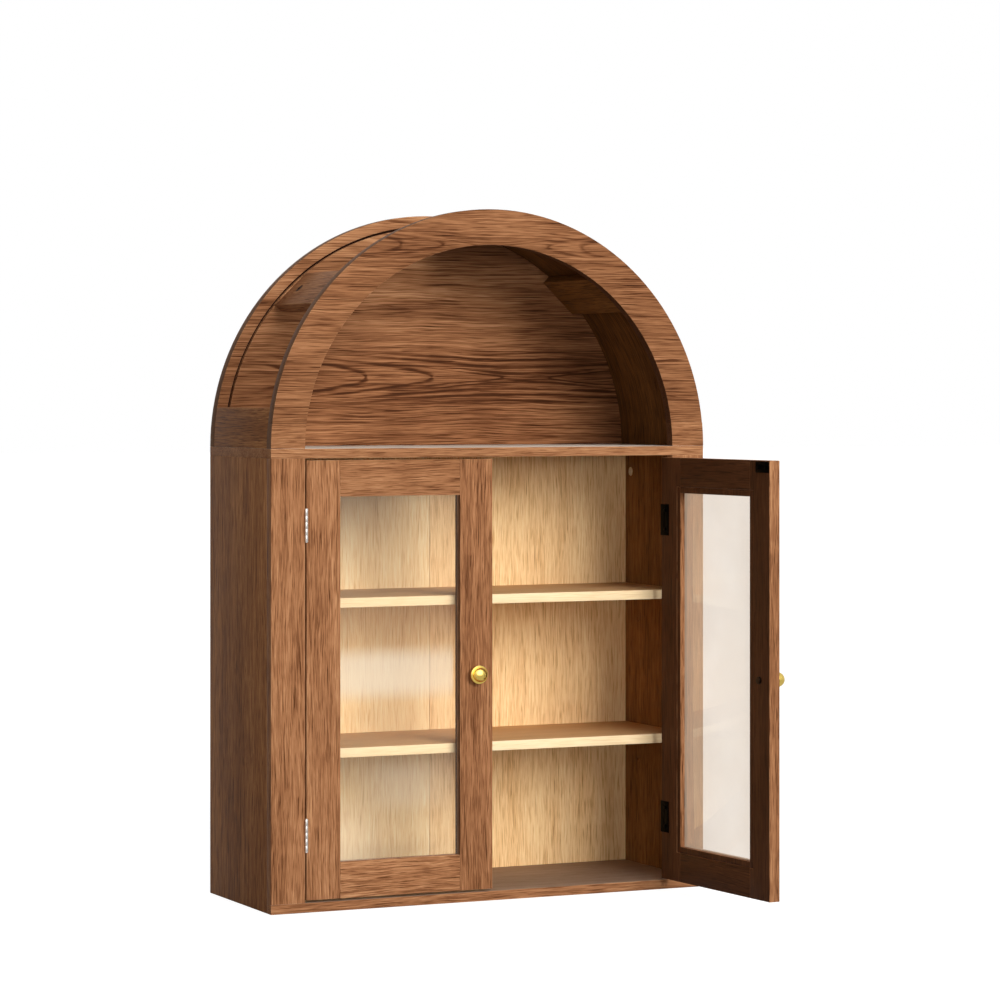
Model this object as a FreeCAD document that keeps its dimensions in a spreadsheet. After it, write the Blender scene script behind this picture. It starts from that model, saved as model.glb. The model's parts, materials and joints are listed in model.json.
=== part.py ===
import FreeCAD, Part
import math
import os
import re
import Sketcher

# Arched display cabinet of walnut-veneered board, with two glazed doors on inset hinges
# below an open arch. X is to the right, Y to the back and Z up, in millimetres, with
# the origin at the centre of the base. The left door is shut and the right door stands
# open, as the cabinet is usually shown.

# Every size that can be set by itself. Each becomes one cell of the sheet.
SIZES = {
    # Carcass
    "cabinet_width": 600.0,
    "cabinet_depth": 214.0,
    "bay_height": 547.0,
    "bottom_thick": 12.0,
    "deck_thick": 12.0,
    "side_thick": 12.0,
    "frame_thick": 15.0,
    "stile_width": 45.0,
    "panel_thick": 3.0,
    "panel_recess": 13.0,
    "panel_groove_depth": 5.0,
    "panel_clear": 0.3,
    "panel_joint_gap": 0.6,
    "joint_strip_width": 40.0,
    "joint_strip_thick": 8.0,
    "back_rail_height": 60.0,
    # Shelves and their pins
    "shelf_thick": 12.0,
    "shelf_setback": 5.0,
    "shelf_clear": 0.5,
    "pin_stub_radius": 2.4,
    "pin_hole_clear": 0.05,
    "pin_stub_depth": 8.0,
    "pin_tab_reach": 9.0,
    "pin_tab_width": 6.0,
    "pin_tab_thick": 2.0,
    "pin_sink": 0.5,
    "pin_edge_inset": 37.0,
    "pin_row_pitch": 32.0,
    # Arch
    "ring_width": 45.0,
    "ring_foot_height": 31.0,
    "arch_back_thick": 15.0,
    "base_rail_height": 50.0,
    "skin_thick": 3.0,
    "skin_inset": 14.0,
    "skin_groove_depth": 5.0,
    "skin_clear": 0.15,
    "batten_width": 60.0,
    "batten_thick": 12.0,
    "batten_angle": 46.0,
    # Doors
    "door_thick": 15.0,
    "door_stile_width": 45.0,
    "door_rail_width": 45.0,
    "door_gap_low": 3.0,
    "door_gap_high": 2.5,
    "door_gap_centre": 2.0,
    "door_rest_angle": 94.0,
    "rebate_width": 8.0,
    "rebate_lip": 5.0,
    "glass_thick": 3.0,
    "glass_clear": 0.5,
    "bead_depth": 6.5,
    "bead_clear": 0.2,
    # Knobs
    "knob_length": 20.5,
    "knob_foot_radius": 6.0,
    "knob_neck_radius": 4.0,
    "knob_rim_radius": 11.5,
    "knob_dome_radius": 9.2,
    "knob_rim_thick": 2.6,
    "knob_groove_width": 1.4,
    "knob_groove_depth": 1.6,
    "knob_screw_radius": 1.9,
    "knob_screw_clear": 0.1,
    "knob_screw_bite": 8.0,
    "knob_screw_head_radius": 4.5,
    "knob_screw_head_thick": 2.4,
    # Hinges
    "hinge_gap": 2.0,
    "hinge_height": 40.0,
    "hinge_inset": 60.0,
    "barrel_radius": 2.0,
    "barrel_standoff": 2.3,
    "barrel_play": 0.25,
    "knuckle_count": 5,
    "knuckle_gap": 0.3,
    "hinge_pin_radius": 0.9,
    "hinge_pin_clear": 0.05,
    "pin_head_radius": 1.7,
    "pin_head_thick": 0.8,
    "pin_head_gap": 0.1,
    "leaf_thick": 0.9,
    "flange_width": 18.0,
    "leaf_screw_pitch": 24.0,
    "leaf_screw_radius": 1.0,
    "leaf_screw_head_radius": 1.75,
    "leaf_screw_head_thick": 0.5,
    "leaf_screw_depth": 12.0,
    "flange_screw_inset": 10.0,
    "flange_screw_head_radius": 2.6,
    "flange_screw_head_thick": 1.2,
    "flange_screw_depth": 9.0,
    "screw_clear": 0.05,
    # Magnetic catches
    "strike_width": 29.0,
    "strike_height": 13.5,
    "strike_thick": 1.0,
    "strike_inset": 1.0,
    "strike_drop": 1.5,
    "strike_screw_inset": 6.0,
    "catch_height": 5.0,
    "catch_depth": 14.0,
    "catch_gap": 0.3,
    "catch_clear": 0.1,
    # Cam locks
    "cam_radius": 5.9,
    "cam_clear": 0.1,
    "cam_thick": 8.8,
    "cam_slot_length": 7.0,
    "cam_slot_width": 1.4,
    "cam_slot_depth": 1.5,
    "cam_below_deck": 25.0,
    "cam_back_inset": 31.0,
    "cam_batten_inset": 30.0,
    # Wall hangers
    "hanger_side_inset": 68.0,
    "hanger_width": 46.0,
    "hanger_height": 34.0,
    "hanger_thick": 1.5,
    "hanger_raise": 2.75,
    "hanger_hole_radius": 5.5,
    "hanger_slot_radius": 2.75,
    "hanger_slot_rise": 11.0,
    "hanger_relief_depth": 8.0,
    "hanger_relief_margin": 2.0,
    "hanger_screw_spacing": 34.0,
    "hanger_screw_radius": 1.4,
    "hanger_screw_head_radius": 2.8,
    "hanger_screw_head_thick": 0.8,
    "hanger_screw_depth": 9.0,
    # How far a cut runs past the face that it opens
    "overrun": 2.0,
}

# Places and lengths that follow from the sizes, each written once.
PLACES = {
    "front_y": "-cabinet_depth / 2",
    "back_y": "cabinet_depth / 2",
    "half_width": "cabinet_width / 2",
    "frame_back_y": "front_y + frame_thick",
    "side_in_x": "half_width - side_thick",
    "opening_x": "half_width - stile_width",
    "deck_low_z": "bottom_thick + bay_height",
    "deck_top_z": "deck_low_z + deck_thick",
    "panel_back_y": "back_y - panel_recess",
    "panel_front_y": "panel_back_y - panel_thick",
    "back_rail_thick": "panel_recess - hanger_thick",
    "shelf_bay": "(bay_height - 2 * shelf_thick) / 3",
    "shelf_front_y": "frame_back_y + shelf_setback",
    "shelf_depth": "panel_front_y - shelf_clear - shelf_front_y",
    "lower_shelf_z": "bottom_thick + shelf_bay",
    "upper_shelf_z": "lower_shelf_z + shelf_thick + shelf_bay",
    "pin_hole_radius": "pin_stub_radius + pin_hole_clear",
    "pin_drop": "pin_tab_thick + pin_stub_radius - pin_sink",
    "front_pin_y": "shelf_front_y + pin_edge_inset",
    "back_pin_y": "shelf_front_y + shelf_depth - pin_edge_inset",
    "ring_inner": "half_width - ring_width",
    "skin_outer": "half_width - skin_inset",
    "skin_inner": "skin_outer - skin_thick",
    "arch_back_y": "back_y - arch_back_thick",
    "arch_inside_depth": "arch_back_y - frame_back_y",
    "batten_face": "sqrt((skin_inner - skin_clear) ^ 2 - (batten_width / 2) ^ 2)",
    "door_low_z": "bottom_thick + door_gap_low",
    "door_height": "bay_height - door_gap_low - door_gap_high",
    "door_high_z": "door_low_z + door_height",
    "door_edge": "hinge_gap / 2",
    "door_width": "opening_x - hinge_gap - door_gap_centre / 2",
    "door_free_edge": "door_edge + door_width",
    "door_face": "barrel_standoff",
    "door_inside": "door_face + door_thick",
    "rail_start": "door_edge + door_stile_width",
    "rail_length": "door_width - 2 * door_stile_width",
    "glass_face": "door_face + rebate_lip",
    "rebate_depth": "door_thick - rebate_lip",
    "bead_face": "glass_face + glass_thick",
    "knob_place": "door_free_edge - door_stile_width / 2",
    "knob_z": "door_low_z + door_height / 2",
    "pivot_x": "opening_x - hinge_gap / 2",
    "pivot_y": "front_y - barrel_standoff",
    "upper_hinge_z": "door_high_z - hinge_inset - hinge_height",
    "lower_hinge_z": "door_low_z + hinge_inset",
    "barrel_room": "barrel_radius + barrel_play",
    "knuckle_pitch": "hinge_height / knuckle_count",
    "strike_start": "door_free_edge - strike_inset - strike_width",
    "strike_z": "door_high_z - strike_drop - strike_height",
    "catch_x": "door_gap_centre / 2 + strike_inset",
    "catch_y": "front_y + door_thick + strike_thick + catch_gap",
    "cam_hole_radius": "cam_radius + cam_clear",
    "cam_z": "deck_low_z - cam_below_deck",
    "cam_y": "back_y - cam_back_inset",
    "hanger_spacing": "2 * (side_in_x - hanger_side_inset)",
    "hanger_z": "deck_low_z - back_rail_height / 2",
    "hanger_face_y": "back_y - hanger_thick",
}

# Which way each side of the cabinet runs from the middle, and from a door's pivot.
SIDES = {"left": -1, "right": 1}

HALF_TURN = 180.0
KNUCKLES = SIZES["knuckle_count"]

doc = FreeCAD.newDocument("ArchedCabinet")
sheet = doc.addObject("Spreadsheet::Sheet", "Sizes")
for row, (name, size) in enumerate(SIZES.items(), start=1):
    sheet.set(f"A{row}", name)
    sheet.set(f"B{row}", str(size))
    sheet.setAlias(f"B{row}", name)
doc.recompute()

subparts = []


def written_out(text):
    """Write an expression with every derived place spelled out and every size as its cell."""
    def swap(match):
        word = match.group()
        if word in PLACES:
            return "(" + written_out(PLACES[word]) + ")"
        return "Sizes." + word if word in SIZES else word
    return re.sub(r"[a-z][a-z_]*", swap, text)


def bind(thing, field, text):
    thing.setExpression(field, written_out(text))


def amount(text):
    """Give the present value of an expression, for a sketch's first drawing."""
    return float(sheet.evalExpression(written_out(text)))


def new_body(label):
    body = doc.addObject("PartDesign::Body", label)
    body.Label = label
    body.AllowCompound = True
    subparts.append(body)
    return body


def new_sketch(body, axis, start, middle="0", level="0"):
    """Start a sketch square to an axis, at a place along it, about a point of its plane."""
    roles = {"x": "YZ_Plane", "y": "XZ_Plane", "z": "XY_Plane"}
    plane = next(item for item in body.Origin.OriginFeatures if item.Role == roles[axis])
    sketch = body.newObject("Sketcher::SketchObject", body.Name + "_sketch")
    sketch.AttachmentSupport = [(plane, "")]
    sketch.MapMode = "FlatFace"
    bind(sketch, "AttachmentOffset.Base.x", middle)
    bind(sketch, "AttachmentOffset.Base.y", level)
    bind(sketch, "AttachmentOffset.Base.z", f"-({start})" if axis == "y" else start)
    return sketch


def dimension(sketch, kind, places, name, text):
    """Add a driving dimension to a sketch and bind it to the sizes."""
    index = sketch.addConstraint(Sketcher.Constraint(kind, *places, amount(text)))
    sketch.renameConstraint(index, name)
    bind(sketch, "Constraints." + name, text)


def tie(sketch, kind, *places):
    sketch.addConstraint(Sketcher.Constraint(kind, *places))


def climb(height, reach):
    """Give the angle in degrees at which an arc of a radius stands at a height."""
    return math.degrees(math.asin(amount(height) / amount(reach)))


def add_rectangle(sketch, left, low, across, along):
    first = sketch.GeometryCount
    start_x, start_y, width, height = map(amount, (left, low, across, along))
    corners = [FreeCAD.Vector(start_x + width * right, start_y + height * up, 0)
               for right, up in ((0, 0), (1, 0), (1, 1), (0, 1))]
    for turn in range(4):
        sketch.addGeometry(Part.LineSegment(corners[turn], corners[(turn + 1) % 4]))
    for turn in range(4):
        tie(sketch, "Coincident", first + turn, 2, first + (turn + 1) % 4, 1)
        tie(sketch, "Vertical" if turn % 2 else "Horizontal", first + turn)
    dimension(sketch, "DistanceX", (-1, 1, first, 1), f"left_{first}", left)
    dimension(sketch, "DistanceY", (-1, 1, first, 1), f"low_{first}", low)
    dimension(sketch, "DistanceX", (first, 1, first, 2), f"across_{first}", across)
    dimension(sketch, "DistanceY", (first + 1, 1, first + 1, 2), f"along_{first}", along)


def add_circle(sketch, across, along, radius):
    first = sketch.GeometryCount
    centre = FreeCAD.Vector(amount(across), amount(along), 0)
    sketch.addGeometry(Part.Circle(centre, FreeCAD.Vector(0, 0, 1), amount(radius)))
    dimension(sketch, "DistanceX", (-1, 1, first, 3), f"across_{first}", across)
    dimension(sketch, "DistanceY", (-1, 1, first, 3), f"along_{first}", along)
    dimension(sketch, "Radius", (first,), f"radius_{first}", radius)


def add_band(sketch, inner, outer, first_angle, last_angle):
    """Add two arcs about the sketch's origin with a line across each end; give the lines.

    The angles only say about where the ends are drawn before they are held."""
    first = sketch.GeometryCount
    turns = (math.radians(first_angle), math.radians(last_angle))
    reaches = (amount(outer), amount(inner))
    flat = FreeCAD.Vector(0, 0, 1)
    for reach in reaches:
        ring = Part.Circle(FreeCAD.Vector(0, 0, 0), flat, reach)
        sketch.addGeometry(Part.ArcOfCircle(ring, *turns))
    for turn in turns:
        ends = [FreeCAD.Vector(reach * math.cos(turn), reach * math.sin(turn), 0)
                for reach in reaches]
        sketch.addGeometry(Part.LineSegment(*ends))
    for arc, radius in ((first, outer), (first + 1, inner)):
        tie(sketch, "Coincident", arc, 3, -1, 1)
        dimension(sketch, "Radius", (arc,), f"radius_{arc}", radius)
    for end, line in ((1, first + 2), (2, first + 3)):
        tie(sketch, "Coincident", first, end, line, 1)
        tie(sketch, "Coincident", first + 1, end, line, 2)
    return first + 2, first + 3


def add_low_band(sketch, side, inner, outer, angle):
    """Add a band that climbs from the deck on one side; give its low and its high line."""
    if side == "right":
        return add_band(sketch, inner, outer, 0, angle)
    high, low = add_band(sketch, inner, outer, HALF_TURN - angle, HALF_TURN)
    return low, high


def end_level(sketch, line, height):
    """Hold the end line of a band level, at a height over the centre of the arch."""
    tie(sketch, "Horizontal", line)
    dimension(sketch, "DistanceY", (-1, 1, line, 1), f"height_{line}", height)


def pad(body, sketch, axis, length):
    """Add the sketch's outline, drawn out along the axis."""
    feature = body.newObject("PartDesign::Pad", body.Name + "_pad")
    feature.Profile = sketch
    feature.Reversed = axis == "y"
    bind(feature, "Length", length)
    sketch.Visibility = False
    return feature


def pocket(body, sketch, axis, length):
    """Cut the sketch's outline away, drawn out along the axis."""
    doc.recompute()
    before = body.Shape.Volume
    feature = body.newObject("PartDesign::Pocket", body.Name + "_pocket")
    feature.Profile = sketch
    feature.Reversed = axis != "y"
    bind(feature, "Length", length)
    doc.recompute()
    if not body.Shape.Volume < before:
        raise RuntimeError(body.Label + ": a cut took nothing away")
    return feature


def add_box(body, low, size):
    """Add a box from its low corner and its lengths, all along X, Y and Z."""
    sketch = new_sketch(body, "z", low[2])
    add_rectangle(sketch, low[0], low[1], size[0], size[1])
    return pad(body, sketch, "z", size[2])


def cut_box(body, low, size):
    sketch = new_sketch(body, "z", low[2])
    add_rectangle(sketch, low[0], low[1], size[0], size[1])
    return pocket(body, sketch, "z", size[2])


def board(label, low, size):
    body = new_body(label)
    add_box(body, low, size)
    return body


def add_rods(body, axis, start, length, centres, radius):
    sketch = new_sketch(body, axis, start)
    for across, along in centres:
        add_circle(sketch, across, along, radius)
    return pad(body, sketch, axis, length)


def cut_holes(body, axis, start, length, centres, radius):
    sketch = new_sketch(body, axis, start)
    for across, along in centres:
        add_circle(sketch, across, along, radius)
    return pocket(body, sketch, axis, length)


def mirror_across(body, features):
    """Repeat features on the other side of the cabinet's middle plane."""
    mirrored = body.newObject("PartDesign::Mirrored", body.Name + "_mirrored")
    mirrored.Originals = features
    mirrored.MirrorPlane = (next(item for item in body.Origin.OriginFeatures
                                 if item.Role == "YZ_Plane"), [""])
    body.Tip = mirrored
    return mirrored


def outward(side, start, length):
    """Give the low X of a stretch that runs outward from the middle on one side."""
    return start if SIDES[side] > 0 else f"-({start} + {length})"


def inward(side, start, length):
    """Give the low X of a stretch that runs from a pivot towards the cabinet's middle."""
    return start if SIDES[side] < 0 else f"-({start} + {length})"


def stand_at_pivot(body, side, turned):
    """Place a piece that is drawn about a door's pivot, turned as its door stands."""
    angle = 1.0 if turned and side == "right" else 0.0
    body.Placement = FreeCAD.Placement(FreeCAD.Vector(0, 0, 0),
                                       FreeCAD.Rotation(FreeCAD.Vector(0, 0, 1), angle))
    bind(body, "Placement.Base.x", "pivot_x" if side == "right" else "-pivot_x")
    bind(body, "Placement.Base.y", "pivot_y")
    if angle:
        bind(body, "Placement.Rotation.Angle", "door_rest_angle")


def bottom_board():
    """The floor board: it fits between the sides and widens under the face frame."""
    body = new_body("bottom_board")
    add_box(body, ("-half_width", "front_y", "0"),
            ("cabinet_width", "frame_thick", "bottom_thick"))
    add_box(body, ("-side_in_x", "frame_back_y", "0"),
            ("2 * side_in_x", "back_y - frame_back_y", "bottom_thick"))


def deck_board():
    """The board between the cupboard and the arch, recessed below for the two catches."""
    body = board("deck_board", ("-half_width", "front_y", "deck_low_z"),
                 ("cabinet_width", "cabinet_depth", "deck_thick"))
    recess = cut_box(body, ("catch_x - catch_clear", "catch_y - catch_clear",
                            "deck_low_z - overrun"),
                     ("strike_width + 2 * catch_clear", "catch_depth + 2 * catch_clear",
                      "catch_height + overrun"))
    mirror_across(body, [recess])


def side_panel(side):
    """A side, grooved for the back panel and bored for shelf pins and a cam lock."""
    body = board(side + "_side_panel",
                 (outward(side, "side_in_x", "side_thick"), "frame_back_y", "0"),
                 ("side_thick", "back_y - frame_back_y", "deck_low_z"))
    groove = "panel_groove_depth + overrun"
    cut_box(body, (outward(side, "side_in_x - overrun", groove),
                   "panel_front_y - panel_clear / 2", "bottom_thick"),
            (groove, "panel_thick + panel_clear", "bay_height + overrun"))
    holes = [(y, f"{shelf} - pin_drop - {drop}")
             for y in ("front_pin_y", "back_pin_y")
             for shelf in ("lower_shelf_z", "upper_shelf_z")
             for drop in ("0", "pin_row_pitch")]
    depth = "pin_stub_depth + pin_hole_clear + overrun"
    cut_holes(body, "x", outward(side, "side_in_x - overrun", depth), depth, holes,
              "pin_hole_radius")
    cam_depth = "cam_thick + cam_clear + overrun"
    cut_holes(body, "x", outward(side, "side_in_x - overrun", cam_depth), cam_depth,
              [("cam_y", "cam_z")], "cam_hole_radius")


def front_stile(side):
    """A stile of the face frame, bored on its inner edge for the hinge screws."""
    body = board(side + "_front_stile",
                 (outward(side, "opening_x", "stile_width"), "front_y", "bottom_thick"),
                 ("stile_width", "frame_thick", "bay_height"))
    depth = "leaf_screw_depth + screw_clear + overrun"
    cut_holes(body, "x", outward(side, "opening_x - overrun", depth), depth,
              frame_screw_places(), "leaf_screw_radius + screw_clear")


def frame_screw_places():
    return [("front_y + frame_thick / 2", height) for height in leaf_screw_heights()]


def leaf_screw_heights():
    """Heights of the screws in the two hinges of a door, lowest first."""
    return [f"{hinge} + hinge_height / 2 {shift} leaf_screw_pitch / 2"
            for hinge in ("lower_hinge_z", "upper_hinge_z") for shift in "-+"]


def back_panels():
    """The thin back in two halves, which slide into grooves in the sides."""
    width = "side_in_x + panel_groove_depth - panel_clear - panel_joint_gap / 2"
    for side in SIDES:
        board(side + "_back_panel",
              (outward(side, "panel_joint_gap / 2", width), "panel_front_y", "bottom_thick"),
              (width, "panel_thick", "bay_height"))


def back_rails():
    """The rails and the strip that hold the back panel from behind."""
    lower = ("-side_in_x", "panel_back_y", "bottom_thick")
    size = ("2 * side_in_x", "back_rail_thick", "back_rail_height")
    board("lower_back_rail", lower, size)
    upper = board("upper_hanging_rail",
                  ("-side_in_x", "panel_back_y", "deck_low_z - back_rail_height"), size)
    reach = "hanger_hole_radius + hanger_relief_margin"
    for side in SIDES:
        middle = "hanger_spacing / 2" if side == "right" else "-hanger_spacing / 2"
        cut_box(upper, (f"{middle} - {reach}", "hanger_face_y - hanger_relief_depth",
                        f"hanger_z - {reach}"),
                (f"2 * ({reach})", "hanger_relief_depth + overrun",
                 f"2 * ({reach}) + hanger_slot_rise"))
    cut_holes(upper, "y", "hanger_face_y - hanger_screw_depth - screw_clear",
              "hanger_screw_depth + screw_clear + overrun", hanger_screw_places(),
              "hanger_screw_radius + screw_clear")
    board("back_joint_strip",
          ("-joint_strip_width / 2", "panel_back_y", "bottom_thick + back_rail_height"),
          ("joint_strip_width", "joint_strip_thick", "bay_height - 2 * back_rail_height"))


def hanger_screw_places():
    return [(f"{middle} hanger_spacing / 2 {shift} hanger_screw_spacing / 2", "hanger_z")
            for middle in ("-", "") for shift in "-+"]


def wall_hangers():
    """Two keyhole plates let into the back, with their screws."""
    plates = new_body("hanger_plates")
    sketch = new_sketch(plates, "y", "hanger_face_y")
    for middle in ("-hanger_spacing / 2", "hanger_spacing / 2"):
        add_rectangle(sketch, f"{middle} - hanger_width / 2",
                      "hanger_z - hanger_height / 2 + hanger_raise",
                      "hanger_width", "hanger_height")
    pad(plates, sketch, "y", "hanger_thick")
    start, length = "hanger_face_y - overrun", "hanger_thick + 2 * overrun"
    middles = ("-hanger_spacing / 2", "hanger_spacing / 2")
    cut_holes(plates, "y", start, length, [(middle, "hanger_z") for middle in middles],
              "hanger_hole_radius")
    cut_holes(plates, "y", start, length,
              [(middle, "hanger_z + hanger_slot_rise") for middle in middles],
              "hanger_slot_radius")
    for middle in middles:
        cut_box(plates, (f"{middle} - hanger_slot_radius", start, "hanger_z"),
                ("2 * hanger_slot_radius", length, "hanger_slot_rise"))
    cut_holes(plates, "y", start, length, hanger_screw_places(),
              "hanger_screw_radius + screw_clear")
    cut_holes(plates, "y", "back_y - hanger_screw_head_thick",
              "hanger_screw_head_thick + overrun", hanger_screw_places(),
              "hanger_screw_head_radius + screw_clear")
    screws = new_body("hanger_screws")
    add_rods(screws, "y", "hanger_face_y - hanger_screw_depth",
             "hanger_screw_depth + hanger_thick - hanger_screw_head_thick",
             hanger_screw_places(), "hanger_screw_radius")
    add_rods(screws, "y", "back_y - hanger_screw_head_thick", "hanger_screw_head_thick",
             hanger_screw_places(), "hanger_screw_head_radius")


def shelves():
    for label, height in (("lower_shelf", "lower_shelf_z"), ("upper_shelf", "upper_shelf_z")):
        board(label, ("-side_in_x + shelf_clear", "shelf_front_y", height),
              ("2 * (side_in_x - shelf_clear)", "shelf_depth", "shelf_thick"))
    pins = new_body("shelf_pins")
    places = [(y, shelf) for y in ("front_pin_y", "back_pin_y")
              for shelf in ("lower_shelf_z", "upper_shelf_z")]
    stubs = add_rods(pins, "x", "side_in_x - pin_tab_reach", "pin_tab_reach + pin_stub_depth",
                     [(y, f"{shelf} - pin_drop") for y, shelf in places], "pin_stub_radius")
    sketch = new_sketch(pins, "x", "side_in_x - pin_tab_reach")
    for y, shelf in places:
        add_rectangle(sketch, f"{y} - pin_tab_width / 2", f"{shelf} - pin_tab_thick",
                      "pin_tab_width", "pin_tab_thick")
    tabs = pad(pins, sketch, "x", "pin_tab_reach")
    mirror_across(pins, [stubs, tabs])


def arch_sketch(body, start):
    """Start a sketch across the arch, with its origin at the arch's centre."""
    return new_sketch(body, "y", start, level="deck_top_z")


def cut_skin_groove(body, start):
    """Cut the curved groove that takes an edge of the bent skin."""
    sketch = arch_sketch(body, start)
    for line in add_band(sketch, "skin_inner - skin_clear", "skin_outer + skin_clear", 0,
                         HALF_TURN):
        end_level(sketch, line, "0")
    pocket(body, sketch, "y", "skin_groove_depth + overrun")


def arch_ring():
    """The arched front: a half ring on two short feet, grooved behind for the skin."""
    ring = new_body("arch_ring")
    sketch = arch_sketch(ring, "front_y")
    foot_angle = climb("ring_foot_height", "half_width")
    for line in add_band(sketch, "ring_inner", "half_width", foot_angle,
                         HALF_TURN - foot_angle):
        end_level(sketch, line, "ring_foot_height")
    pad(ring, sketch, "y", "frame_thick")
    cut_skin_groove(ring, "frame_back_y - skin_groove_depth")
    for side in SIDES:
        foot = new_body(side + "_ring_foot")
        sketch = arch_sketch(foot, "front_y")
        low, high = add_low_band(sketch, side, "ring_inner", "half_width", foot_angle)
        end_level(sketch, low, "0")
        end_level(sketch, high, "ring_foot_height")
        pad(foot, sketch, "y", "frame_thick")
        cut_skin_groove(foot, "frame_back_y - skin_groove_depth")


def arch_back_board():
    """The half-round board behind the arch, grooved in front for the skin."""
    body = new_body("arch_back_board")
    sketch = arch_sketch(body, "arch_back_y")
    reach = amount("half_width")
    ring = Part.Circle(FreeCAD.Vector(0, 0, 0), FreeCAD.Vector(0, 0, 1), reach)
    sketch.addGeometry(Part.ArcOfCircle(ring, 0, math.pi))
    sketch.addGeometry(Part.LineSegment(FreeCAD.Vector(-reach, 0, 0),
                                        FreeCAD.Vector(reach, 0, 0)))
    tie(sketch, "Coincident", 0, 3, -1, 1)
    tie(sketch, "Coincident", 0, 2, 1, 1)
    tie(sketch, "Coincident", 0, 1, 1, 2)
    tie(sketch, "PointOnObject", 0, 1, -1)
    tie(sketch, "PointOnObject", 0, 2, -1)
    dimension(sketch, "Radius", (0,), "radius", "half_width")
    pad(body, sketch, "y", "arch_back_thick")
    cut_skin_groove(body, "arch_back_y - overrun")


def base_rails():
    """Curved blocks on the deck that tie the feet of the ring to the back board."""
    for side in SIDES:
        body = new_body(side + "_base_rail")
        sketch = arch_sketch(body, "frame_back_y")
        low, high = add_low_band(sketch, side, "skin_outer + 2 * skin_clear", "half_width",
                                 climb("base_rail_height", "half_width"))
        end_level(sketch, low, "0")
        end_level(sketch, high, "base_rail_height")
        pad(body, sketch, "y", "arch_inside_depth")


def arch_skin():
    """The bent skin over the right half of the arch, in the grooves of ring and back."""
    body = new_body("arch_skin")
    depth = "skin_groove_depth - skin_clear"
    sketch = arch_sketch(body, f"frame_back_y - ({depth})")
    low, top = add_band(sketch, "skin_inner", "skin_outer", 0, HALF_TURN / 2)
    end_level(sketch, low, "0")
    tie(sketch, "Vertical", top)
    tie(sketch, "PointOnObject", top, 1, -2)
    pad(body, sketch, "y", f"arch_inside_depth + 2 * ({depth})")


def lean_with_batten(body, side):
    """Turn a piece that is drawn level about the arch's centre up to its batten."""
    body.Placement = FreeCAD.Placement(FreeCAD.Vector(0, 0, 0),
                                       FreeCAD.Rotation(FreeCAD.Vector(0, -1, 0), 1.0))
    bind(body, "Placement.Base.z", "deck_top_z")
    bind(body, "Placement.Rotation.Angle",
         "batten_angle" if side == "right" else "180 - batten_angle")


def battens():
    """Flat battens from ring to back board under the skin, with their cam locks."""
    places = [("frame_back_y + cam_batten_inset", "0"), ("arch_back_y - cam_batten_inset", "0")]
    for side in SIDES:
        batten = board(side + "_batten",
                       ("batten_face - batten_thick", "frame_back_y", "-batten_width / 2"),
                       ("batten_thick", "arch_inside_depth", "batten_width"))
        lean_with_batten(batten, side)
        start = "batten_face - cam_thick - cam_clear"
        cut_holes(batten, "x", start, "cam_thick + cam_clear + overrun", places,
                  "cam_hole_radius")
        locks = new_body(side + "_batten_cam_locks")
        lean_with_batten(locks, side)
        cam_locks(locks, "batten_face - cam_thick", places, 1)


def cam_locks(body, start, places, way):
    """Cam discs along X with a driver cross in the end that shows; give the features."""
    features = [add_rods(body, "x", start, "cam_thick", places, "cam_radius")]
    face = f"{start} + cam_thick - cam_slot_depth" if way > 0 else f"{start} - overrun"
    for across, along in (("cam_slot_length", "cam_slot_width"),
                          ("cam_slot_width", "cam_slot_length")):
        sketch = new_sketch(body, "x", face)
        for y, height in places:
            add_rectangle(sketch, f"{y} - {across} / 2", f"{height} - {along} / 2",
                          across, along)
        features.append(pocket(body, sketch, "x", "cam_slot_depth + overrun"))
    return features


def side_cam_locks():
    """The cam locks in the sides that pull the deck down."""
    body = new_body("side_cam_locks")
    mirror_across(body, cam_locks(body, "side_in_x", [("cam_y", "cam_z")], -1))


def catches():
    """Magnetic catches let in flush below the deck, one above each door's strike."""
    body = new_body("magnetic_catches")
    block = add_box(body, ("catch_x", "catch_y", "deck_low_z"),
                    ("strike_width", "catch_depth", "catch_height"))
    mirror_across(body, [block])


def door_board(side, name, low, size):
    """A straight piece of a door, drawn about the pivot from its hinged edge inwards."""
    body = board(f"{side}_{name}", (inward(side, low[0], size[0]), low[1], low[2]), size)
    stand_at_pivot(body, side, True)
    return body


def cut_door_box(body, side, low, size):
    cut_box(body, (inward(side, low[0], size[0]), low[1], low[2]), size)


def door_side(side, u):
    """Give a place across a door as a place along X from its pivot."""
    return u if side == "left" else f"-({u})"


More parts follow.
